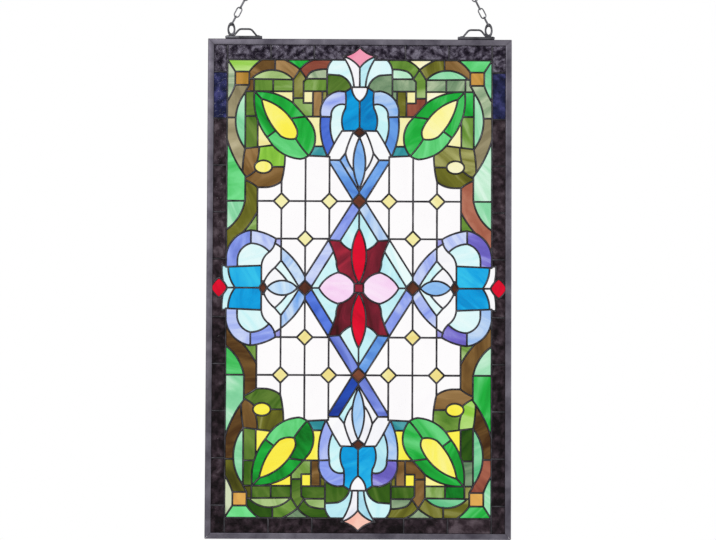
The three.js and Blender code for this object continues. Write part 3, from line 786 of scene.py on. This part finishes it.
def glass_material(name, sheet):
    """Streaky art glass: each pane turns and shifts the streaks, and has its own tone."""
    recipe = Recipe("glass_" + name)
    pebbled = name in PEBBLED
    face = PEBBLED_FACE if pebbled else SMOOTH_FACE
    shift = recipe.add("ShaderNodeAttribute", attribute_name="pane_shift").outputs["Vector"]
    turn = recipe.add("ShaderNodeAttribute", attribute_name="pane_turn").outputs["Fac"]
    tone = recipe.add("ShaderNodeAttribute", attribute_name="pane_tone").outputs["Fac"]
    moved = recipe.add("ShaderNodeVectorMath", {0: recipe.place, 1: shift}, operation="ADD").outputs[0]
    turned = recipe.add("ShaderNodeVectorRotate", {"Vector": moved, "Angle": turn}, rotation_type="Y_AXIS")
    stretch = (1.0, 1.0, face["stretch"])
    place = recipe.add("ShaderNodeMapping", {"Vector": turned.outputs[0], "Scale": stretch}).outputs[0]
    streak = recipe.noise(place, sheet["streaks"], detail=4.0, distortion=face["twist"], rough=0.6)
    swing = recipe.math("MULTIPLY_ADD", streak, 2 * sheet["swing"], -sheet["swing"])
    factor = recipe.math("ADD", swing, tone)
    stops = [(k / 2, linear(code)) for k, code in enumerate(sheet["tones"])]
    recipe.link(recipe.ramp(factor, stops), "Base Color")
    spot = recipe.place if pebbled else place
    grain = recipe.noise(spot, face["grain"], detail=2.0, distortion=face["wander"])
    recipe.bump(grain, face["relief"], face["depth"])
    recipe.set(Roughness=0.09, IOR=1.3, Specular_IOR_Level=0.4, Transmission_Weight=face["clarity"])
    return recipe.material


def metal_material(name, dark, light, roughness, grain):
    """Patinated metal, mottled and a little rough."""
    recipe = Recipe(name)
    patch = recipe.noise(recipe.place, grain, detail=5.0, distortion=0.4, rough=0.6)
    recipe.link(recipe.ramp(patch, [(0.3, linear(dark)), (0.72, linear(light))]), "Base Color")
    fine = recipe.noise(recipe.place, 8 * grain)
    rough = recipe.math("MULTIPLY_ADD", fine, 0.25, roughness - 0.12)
    recipe.link(rough, "Roughness")
    recipe.bump(fine, strength=0.25, distance=0.0004)
    recipe.set(Metallic=0.9)
    return recipe.material


# ---------- cutting the panel into cells ----------
def overrun(seam):
    """A seam with both ends run on a little, so that it surely crosses its neighbours."""
    points = [Vector(point) for point in seam]
    if is_closed(seam):
        return points
    first = points[0] + (points[0] - points[1]).normalized() * OVERRUN
    last = points[-1] + (points[-1] - points[-2]).normalized() * OVERRUN
    return [first, *points[1:-1], last]


def cut_cells(seams):
    """The cells between the seams, each as a list of flat triangles of 2D points."""
    edge = [(-EDGE_X, -EDGE_Z), (EDGE_X, -EDGE_Z), (EDGE_X, EDGE_Z), (-EDGE_X, EDGE_Z), (-EDGE_X, -EDGE_Z)]
    points = []
    walls = []
    for line in [*map(overrun, seams), [Vector(point) for point in edge]]:
        walls += [(len(points) + k, len(points) + k + 1) for k in range(len(line) - 1)]
        points += line
    corners, edges, faces, _, wall_of, _ = delaunay_2d_cdt(points, walls, [], 0, CUT_MERGE)
    is_wall = {frozenset(edges[k]) for k in range(len(edges)) if wall_of[k]}
    beside = {}
    for number, face in enumerate(faces):
        for k in range(3):
            beside.setdefault(frozenset((face[k], face[k - 1])), []).append(number)
    cell_of = [None] * len(faces)
    cells = []
    for first in range(len(faces)):
        if cell_of[first] is not None:
            continue
        cell_of[first] = len(cells)
        waiting = [first]
        members = []
        while waiting:
            number = waiting.pop()
            face = faces[number]
            members.append([corners[k] for k in face])
            for k in range(3):
                side = frozenset((face[k], face[k - 1]))
                for other in beside[side] if side not in is_wall else ():
                    if cell_of[other] is None:
                        cell_of[other] = len(cells)
                        waiting.append(other)
        cells.append(members)
    return [cell for cell in cells if cell_area(cell) > SLIVER and inside_panel(cell)]


def cell_area(cell):
    """Area of a cell in square millimetres."""
    return sum(abs((b - a).cross(c - a)) / 2 for a, b, c in cell)


def inside_panel(cell):
    """False for what the cut leaves outside the panel's edge."""
    points = [point for face in cell for point in face]
    return all(abs(point.x) < EDGE_X + NEAR and abs(point.y) < EDGE_Z + NEAR for point in points)


def covers(cell, at):
    """True where a point lies in a cell."""
    spot = Vector(at)
    for a, b, c in cell:
        turns = [(q - p).cross(spot - p) for p, q in ((a, b), (b, c), (c, a))]
        if all(turn >= 0 for turn in turns) or all(turn <= 0 for turn in turns):
            return True
    return False


def sorted_panes():
    """Every cell with its glass, tone and, where it has one, the name of its solid."""
    cells = cut_cells(mirrored_seams())
    facts = [{"glass": DEFAULT_GLASS, "tone": SHEET_ENDS[""], "node": "", "named": False} for _ in cells]
    for entry in QUARTER_PANES:
        x, z = entry["at"]
        for side, level in quarters(entry["at"]):
            at = (side * x + POINT_SHIFT[0], level * z + POINT_SHIFT[1])
            number = next((k for k, cell in enumerate(cells) if covers(cell, at)), None)
            if number is None:
                raise RuntimeError(f"no cell at {at}")
            if facts[number]["named"]:
                raise RuntimeError(f"the cell at {at} is named twice")
            upright = "" if z == 0 else ("_top" if level > 0 else "_bottom")
            sideways = "" if x == 0 else ("_right" if side > 0 else "_left")
            quarter = (0 if level > 0 else 2) + (0 if side > 0 else 1)
            node = entry["node"] + upright + sideways if entry["node"] else ""
            glass, _, end = entry["cuts"][quarter].partition(" ")
            facts[number] = {"glass": glass, "tone": SHEET_ENDS[end], "node": node, "named": True}
    return list(zip(cells, facts))


def panes_mesh(name, panes, thickness, chance):
    """Panes as plates of glass, each with its own streak direction, shift and tone."""
    bm = bmesh.new()
    tone_layer = bm.faces.layers.float.new("pane_tone")
    turn_layer = bm.faces.layers.float.new("pane_turn")
    shift_layer = bm.faces.layers.float_vector.new("pane_shift")
    for cell, facts in panes:
        spots = {}
        tone = facts["tone"] + chance.uniform(-TONE_SPREAD, TONE_SPREAD)
        turn = chance.uniform(0, math.pi)
        shift = [chance.uniform(-STREAK_SHIFT, STREAK_SHIFT) for _ in range(3)]
        flat = []
        for triangle in cell:
            corners = []
            for point in triangle:
                key = (round(point.x, 3), round(point.y, 3))
                if key not in spots:
                    place = (point.x * MM, -thickness / 2, CENTRE_Z + point.y * MM)
                    spots[key] = bm.verts.new(place)
                corners.append(spots[key])
            if len(set(corners)) == 3:
                flat.append(bm.faces.new(corners))
        for face in flat:
            face[tone_layer] = tone
            face[turn_layer] = turn
            face[shift_layer] = shift
        swept = bmesh.ops.extrude_face_region(bm, geom=flat, use_keep_orig=True)["geom"]
        bmesh.ops.translate(bm, verts=vertices_in(swept), vec=(0, thickness, 0))
    return mesh_of(bm, name, smooth=False)


def inner_points(seam):
    """The points of a seam between its ends; a straight one has them at even steps."""
    if len(seam) > 2:
        return seam[1:-1]
    count = max(1, round(math.dist(seam[0], seam[1]) / KNOT_SPACING))
    return [[seam[0][k] + (seam[1][k] - seam[0][k]) * i / count for k in (0, 1)] for i in range(1, count)]


# ---------- settings ----------
class SGW_PanelSettings(bpy.types.PropertyGroup):
    """Sizes and finish of the leaded panel."""

    glass_thickness: bpy.props.FloatProperty(
        name="Glass thickness", description="Thickness of every pane", default=3.0 * MM, unit="LENGTH")
    bead_width: bpy.props.FloatProperty(
        name="Solder width", description="Width of a solder bead on the face",
        default=3.3 * MM, unit="LENGTH")
    bead_unevenness: bpy.props.FloatProperty(
        name="Solder unevenness", description="How much the bead swells and thins along a seam",
        default=0.07, subtype="FACTOR")
    seed: bpy.props.IntProperty(
        name="Glass cut", description="Number that picks where each pane was cut from its sheet", default=7)


class SGW_HangingSettings(bpy.types.PropertyGroup):
    """Sizes of the brackets, chains and ring."""

    handle_wire: bpy.props.FloatProperty(
        name="Handle wire", description="Thickness of the bracket's handle", default=3.2 * MM, unit="LENGTH")
    link_wire: bpy.props.FloatProperty(
        name="Link wire", description="Thickness of the chain's wire", default=2.2 * MM, unit="LENGTH")
    ring_wire: bpy.props.FloatProperty(
        name="Ring wire", description="Thickness of the hanging ring", default=3.5 * MM, unit="LENGTH")


class SGW_StageSettings(bpy.types.PropertyGroup):
    """Floor, light and camera."""

    floor_drop: bpy.props.FloatProperty(
        name="Floor drop", description="From the panel's lower edge down to the floor",
        default=0.35, unit="LENGTH")
    floor_radius: bpy.props.FloatProperty(
        name="Floor radius", description="Radius of the round floor", default=1.5, unit="LENGTH")
    floor_colour: bpy.props.FloatVectorProperty(
        name="Floor colour", description="Colour of the floor", default=(0.82, 0.82, 0.82), subtype="COLOR")
    camera_distance: bpy.props.FloatProperty(
        name="Camera distance", description="From the panel to the camera", default=3.0, unit="LENGTH")
    room_light: bpy.props.FloatProperty(
        name="Room light", description="How bright the room looks in reflections", default=0.35)
    view_width: bpy.props.FloatProperty(
        name="View width", description="Width of the view at the panel", default=1.175, unit="LENGTH")


# ---------- operators ----------
class SGW_OT_solder(bpy.types.Operator):
    """Rounded solder beads along every seam"""

    bl_idname = "sgw.solder"
    bl_label = "Solder Beads"

    def execute(self, context):
        settings = context.scene.sgw_panel
        chance = random.Random(settings.seed)
        half = settings.bead_width / 2 / MM
        # a bead's rounded end: how far past the seam, in half widths, and how thick
        cap = ((1.0, 0.05), (0.9, 0.45), (0.6, 0.8), (0.0, 1.02))

        def knot(x, z, factor):
            swell = 1 + chance.uniform(-1, 1) * settings.bead_unevenness
            return (x * MM, 0.0, z * MM), factor * swell

        def end(tip, before, shape):
            along = (Vector(tip) - Vector(before)).normalized() * half
            return [knot(tip[0] + along.x * reach, tip[1] + along.y * reach, factor)
                    for reach, factor in shape]

        wires = []
        rings = []
        for seam in mirrored_seams():
            if is_closed(seam):
                rings.append([knot(x, z, 1.0) for x, z in seam[:-1]])
                continue
            wires.append([*end(seam[0], seam[1], cap),
                          *[knot(x, z, 1.0) for x, z in inner_points(seam)],
                          *end(seam[-1], seam[-2], cap[::-1])])
        mesh = wires_mesh("solder_beads", wires, settings.bead_width / 2, sides=8)
        loops = wires_mesh("solder_loops", rings, settings.bead_width / 2, sides=8, cyclic=True)
        bm = bmesh.new()
        bm.from_mesh(mesh)
        bm.from_mesh(loops)
        bmesh.ops.scale(bm, verts=bm.verts, vec=(1, BEAD_THICKNESS * SNUG / settings.bead_width, 1))
        bmesh.ops.translate(bm, verts=bm.verts, vec=(0, 0, CENTRE_Z))
        for corner in bm.verts:
            corner.co.y = max(-BEAD_THICKNESS / 2, min(BEAD_THICKNESS / 2, corner.co.y))
        material = metal_material("solder", "#302E32", "#6C696F", roughness=0.36, grain=60.0)
        finished("solder_beads", mesh_of(bm, "solder_beads"), material, ["solder_lattice"])
        return {"FINISHED"}


class SGW_OT_glass(bpy.types.Operator):
    """Panes of art glass in every cell"""

    bl_idname = "sgw.glass"
    bl_label = "Glass Panes"

    def execute(self, context):
        settings = context.scene.sgw_panel
        chance = random.Random(settings.seed)
        materials = {name: glass_material(name, sheet) for name, sheet in SHEETS.items()}
        groups = {}
        for cell, facts in sorted_panes():
            name = facts["node"] + "_pane" if facts["node"] else "panes_" + facts["glass"]
            groups.setdefault(name, []).append((cell, facts))
        for name, panes in groups.items():
            facts = panes[0][1]
            mesh = panes_mesh(name, panes, settings.glass_thickness, chance)
            nodes = [facts["node"]] if facts["node"] else []
            finished(name, mesh, materials[facts["glass"]], nodes)
        return {"FINISHED"}


class SGW_OT_frame(bpy.types.Operator):
    """Four zinc channels, mitred at the corners"""

    bl_idname = "sgw.frame"
    bl_label = "Frame Channels"

    def execute(self, context):
        material = metal_material("frame_zinc", "#605B68", "#9C97A4", roughness=0.45, grain=26.0)
        back = CHANNEL_DEPTH / 2
        slot = BEAD_THICKNESS / 2 + FRAME_GAP
        for turn, side in enumerate(("top", "right", "bottom", "left")):
            half_length, top = (HALF_WIDTH, HALF_HEIGHT) if turn % 2 == 0 else (HALF_HEIGHT, HALF_WIDTH)
            lip = top - CHANNEL_FACE
            seat = lip + SLOT_DEPTH
            profile = [(-back, lip), (-slot, lip), (-slot, seat), (slot, seat),
                       (slot, lip), (back, lip), (back, top), (-back, top)]
            bm = bmesh.new()
            start = bm.faces.new([bm.verts.new((-half_length, y, z)) for y, z in profile])
            swept = bmesh.ops.extrude_face_region(bm, geom=[start], use_keep_orig=True)["geom"]
            bmesh.ops.translate(bm, verts=vertices_in(swept), vec=(2 * half_length, 0, 0))
            bmesh.ops.recalc_face_normals(bm, faces=bm.faces)
            outer = [edge for edge in bm.edges if edge.calc_length() > half_length
                     and abs(edge.verts[0].co.y) > back - FRAME_GAP]
            bmesh.ops.bevel(bm, geom=outer, offset=EDGE_ROUND, segments=4, affect="EDGES",
                            profile=0.5, material=-1)
            for end in (1, -1):
                bmesh.ops.bisect_plane(bm, geom=[*bm.verts, *bm.edges, *bm.faces],
                                       plane_co=(end * (half_length - FRAME_GAP), 0, top),
                                       plane_no=(end, 0, -1), clear_outer=True)
                bmesh.ops.holes_fill(bm, edges=[edge for edge in bm.edges if edge.is_boundary])
            bmesh.ops.rotate(bm, verts=bm.verts, matrix=Matrix.Rotation(turn * math.pi / 2, 3, "Y"))
            bmesh.ops.translate(bm, verts=bm.verts, vec=(0, 0, CENTRE_Z))
            mesh = mesh_of(bm, "frame_" + side)
            mesh.set_sharp_from_angle(angle=SHARP_ANGLE)
            finished("frame_" + side, mesh, material, ["channel_" + side])
        return {"FINISHED"}


class SGW_OT_brackets(bpy.types.Operator):
    """Soldered bars on top of the frame, each with a wire handle and an eye"""

    bl_idname = "sgw.brackets"
    bl_label = "Brackets"

    def execute(self, context):
        settings = context.scene.sgw_hanging
        material = metal_material("bracket_metal", "#46464B", "#87878D", roughness=0.38, grain=70.0)
        wire = settings.handle_wire
        base = BRACKET[0][2]
        for side, name in ((1, "bracket_right"), (-1, "bracket_left")):
            bm = bmesh.new()
            bar = bmesh.ops.create_cube(bm, size=1.0)["verts"]
            length = BRACKET[1][0] - BRACKET[0][0]
            low = base + BAR_HEIGHT / 2
            bmesh.ops.scale(bm, verts=bar, vec=(length, BRACKET[1][1] - BRACKET[0][1], BAR_HEIGHT))
            bmesh.ops.translate(bm, verts=bar, vec=(BRACKET[0][0] + length / 2, 0, low))
            bmesh.ops.bevel(bm, geom=bm.edges[:], offset=BAR_ROUND, segments=3, affect="EDGES",
                            profile=0.5, material=-1)
            high = base + HANDLE_HEIGHT - wire / 2
            corners = [(HANDLE_FOOT[0], low), (HANDLE_TOP[0], high),
                       (HANDLE_TOP[1], high), (HANDLE_FOOT[1], low)]
            path = [((x, 0, z), 1.0) for x, z in rounded(corners, HANDLE_BEND)]
            add_mesh(bm, wires_mesh(name, [path], wire / 2, sides=12))
            half_height = (BRACKET[1][2] - base - EYE_SEAT) / 2
            eye = add_ring(bm, EYE_WIDTH / 2, EYE_WIRE, steps=32)
            bmesh.ops.scale(bm, verts=eye, vec=(1, 1, half_height / (EYE_WIDTH / 2)))
            bmesh.ops.translate(bm, verts=eye, vec=(EYE_X, 0, base + EYE_SEAT + half_height))
            for x, size in SOLDER_BLOBS:
                blob = bmesh.ops.create_uvsphere(bm, u_segments=20, v_segments=12, radius=1.0)["verts"]
                reach = (size * BLOB_SPREAD * MM, BRACKET[1][1] * SNUG, size * BLOB_RISE * MM)
                bmesh.ops.scale(bm, verts=blob, vec=reach)
                bmesh.ops.translate(bm, verts=blob, vec=(x, 0, base + BLOB_LEVEL))
            bmesh.ops.scale(bm, verts=bm.verts, vec=(side, 1, 1))
            mesh = mesh_of(bm, name)
            mesh.set_sharp_from_angle(angle=SHARP_ANGLE)
            finished(name + "_fitting", mesh, material, [name])
        return {"FINISHED"}


class SGW_OT_chains(bpy.types.Operator):
    """Two legs of oval links and the ring they hang from"""

    bl_idname = "sgw.chains"
    bl_label = "Chains and Ring"

    def execute(self, context):
        settings = context.scene.sgw_hanging
        material = metal_material("chain_metal", "#67676D", "#AAAAB0", roughness=0.34, grain=90.0)
        ring_z = (RING[0][2] + RING[1][2]) / 2
        bearing = Vector((EYE_X, 0, BRACKET[1][2] - EYE_WIRE - LINK_SLACK))
        top = Vector((0, 0, ring_z))
        reach = (RING[1][2] - RING[0][2]) / 2
        inner = reach - settings.ring_wire
        leg = bearing - top
        span = leg.length - inner + LINK_SLACK
        pitch = span / LINK_COUNT
        length = pitch + 2 * settings.link_wire - LINK_BITE
        lean = Matrix.Rotation(-math.atan2(leg.x, -leg.z), 3, "Y")
        for side, name in ((1, "chain_right"), (-1, "chain_left")):
            bm = bmesh.new()
            for i in range(LINK_COUNT):
                link = add_link(bm, length, LINK_WIDTH, settings.link_wire)
                if i % 2 == 0:
                    bmesh.ops.rotate(bm, verts=link, matrix=Matrix.Rotation(math.pi / 2, 3, "Z"))
                bmesh.ops.translate(bm, verts=link, vec=(0, 0, LINK_SLACK - inner - pitch * (i + 0.5)))
            bmesh.ops.rotate(bm, verts=bm.verts, matrix=lean)
            bmesh.ops.translate(bm, verts=bm.verts, vec=top)
            bmesh.ops.scale(bm, verts=bm.verts, vec=(side, 1, 1))
            finished(name + "_links", mesh_of(bm, name), material, [name])
        bm = bmesh.new()
        add_ring(bm, reach, settings.ring_wire, steps=48)
        bmesh.ops.translate(bm, verts=bm.verts, vec=top)
        finished("hanging_ring", mesh_of(bm, "hanging_ring"), material, ["hang_ring"])
        return {"FINISHED"}


class SGW_OT_stage(bpy.types.Operator):
    """Pale floor, soft light from all round and the camera"""

    bl_idname = "sgw.stage"
    bl_label = "Floor, Light and Camera"

    def execute(self, context):
        settings = context.scene.sgw_stage
        scene = context.scene
        bm = bmesh.new()
        bmesh.ops.create_circle(bm, cap_ends=True, segments=96, radius=settings.floor_radius)
        bmesh.ops.translate(bm, verts=bm.verts, vec=(0, 0, CAD_BOX[0][2] - settings.floor_drop))
        mesh = mesh_of(bm, "floor")
        floor = bpy.data.objects.new("floor", mesh)
        scene.collection.objects.link(floor)
        recipe = Recipe("floor_matt")
        grain = recipe.noise(recipe.place, 30.0, detail=2.0)
        pale = [*settings.floor_colour, 1.0]
        shade = [*(0.96 * level for level in settings.floor_colour), 1.0]
        recipe.link(recipe.ramp(grain, [(0.3, shade), (0.7, pale)]), "Base Color")
        recipe.set(Roughness=0.8)
        mesh.materials.append(recipe.material)

        world = bpy.data.worlds.new("studio")
        world.use_nodes = True
        nodes = world.node_tree.nodes
        links = world.node_tree.links
        background = nodes["Background"]
        background.inputs["Color"].default_value = (1, 1, 1, 1)
        path = nodes.new("ShaderNodeLightPath")
        glow = nodes.new("ShaderNodeMath")
        glow.operation = "MAXIMUM"
        links.new(path.outputs["Is Camera Ray"], glow.inputs[0])
        links.new(path.outputs["Is Transmission Ray"], glow.inputs[1])
        level = nodes.new("ShaderNodeMapRange")
        links.new(glow.outputs[0], level.inputs["Value"])
        level.inputs["To Min"].default_value = settings.room_light
        level.inputs["To Max"].default_value = 1.0
        links.new(level.outputs[0], background.inputs["Strength"])
        scene.world = world

        for name, place, power, size in STUDIO_LIGHTS:
            lamp = bpy.data.lights.new(name, "AREA")
            lamp.energy = power
            lamp.shape = "DISK"
            lamp.size = size
            holder = bpy.data.objects.new(name, lamp)
            holder.location = place
            aim = Vector((0, 0, CENTRE_Z)) - Vector(place)
            holder.rotation_euler = aim.to_track_quat("-Z", "Y").to_euler()
            holder.visible_camera = False
            holder.visible_transmission = False
            scene.collection.objects.link(holder)

        camera = bpy.data.objects.new("camera", bpy.data.cameras.new("camera"))
        scene.collection.objects.link(camera)
        camera.data.sensor_width = SENSOR_WIDTH
        camera.data.lens = SENSOR_WIDTH * settings.camera_distance / settings.view_width
        aim = Vector((AIM_X, 0, CENTRE_Z + AIM_Z))
        back = Vector((0, -math.cos(CAMERA_RISE), -math.sin(CAMERA_RISE)))
        camera.location = aim + back * settings.camera_distance
        look = (-back).to_track_quat("-Z", "Y").to_matrix() @ Matrix.Rotation(CAMERA_ROLL, 3, "Z")
        camera.rotation_euler = look.to_euler()
        scene.camera = camera
        scene.view_settings.view_transform = "Standard"
        return {"FINISHED"}


class SGW_PT_sidebar(bpy.types.Panel):
    """Lists the pieces and their sizes"""

    bl_idname = "SGW_PT_sidebar"
    bl_label = "Stained Glass Window"
    bl_space_type = "VIEW_3D"
    bl_region_type = "UI"
    bl_category = "Stained Glass"

    def draw(self, context):
        scene = context.scene
        for settings in (scene.sgw_panel, scene.sgw_hanging, scene.sgw_stage):
            for key in settings.bl_rna.properties.keys():
                if key not in ("rna_type", "name"):
                    self.layout.prop(settings, key)
        for operator in OPERATORS:
            self.layout.operator(operator.bl_idname)


OPERATORS = (SGW_OT_solder, SGW_OT_glass, SGW_OT_frame, SGW_OT_brackets, SGW_OT_chains, SGW_OT_stage)
SETTINGS = (SGW_PanelSettings, SGW_HangingSettings, SGW_StageSettings)


def register():
    for kind in (*SETTINGS, *OPERATORS, SGW_PT_sidebar):
        bpy.utils.register_class(kind)
    bpy.types.Scene.sgw_panel = bpy.props.PointerProperty(type=SGW_PanelSettings)
    bpy.types.Scene.sgw_hanging = bpy.props.PointerProperty(type=SGW_HangingSettings)
    bpy.types.Scene.sgw_stage = bpy.props.PointerProperty(type=SGW_StageSettings)


def unregister():
    del bpy.types.Scene.sgw_panel
    del bpy.types.Scene.sgw_hanging
    del bpy.types.Scene.sgw_stage
    for kind in (SGW_PT_sidebar, *reversed(OPERATORS), *reversed(SETTINGS)):
        bpy.utils.unregister_class(kind)


def main():
    """Builds every piece."""
    register()
    bpy.ops.sgw.solder()
    bpy.ops.sgw.glass()
    bpy.ops.sgw.frame()
    bpy.ops.sgw.brackets()
    bpy.ops.sgw.chains()
    bpy.ops.sgw.stage()


if __name__ == "__main__":
    main()
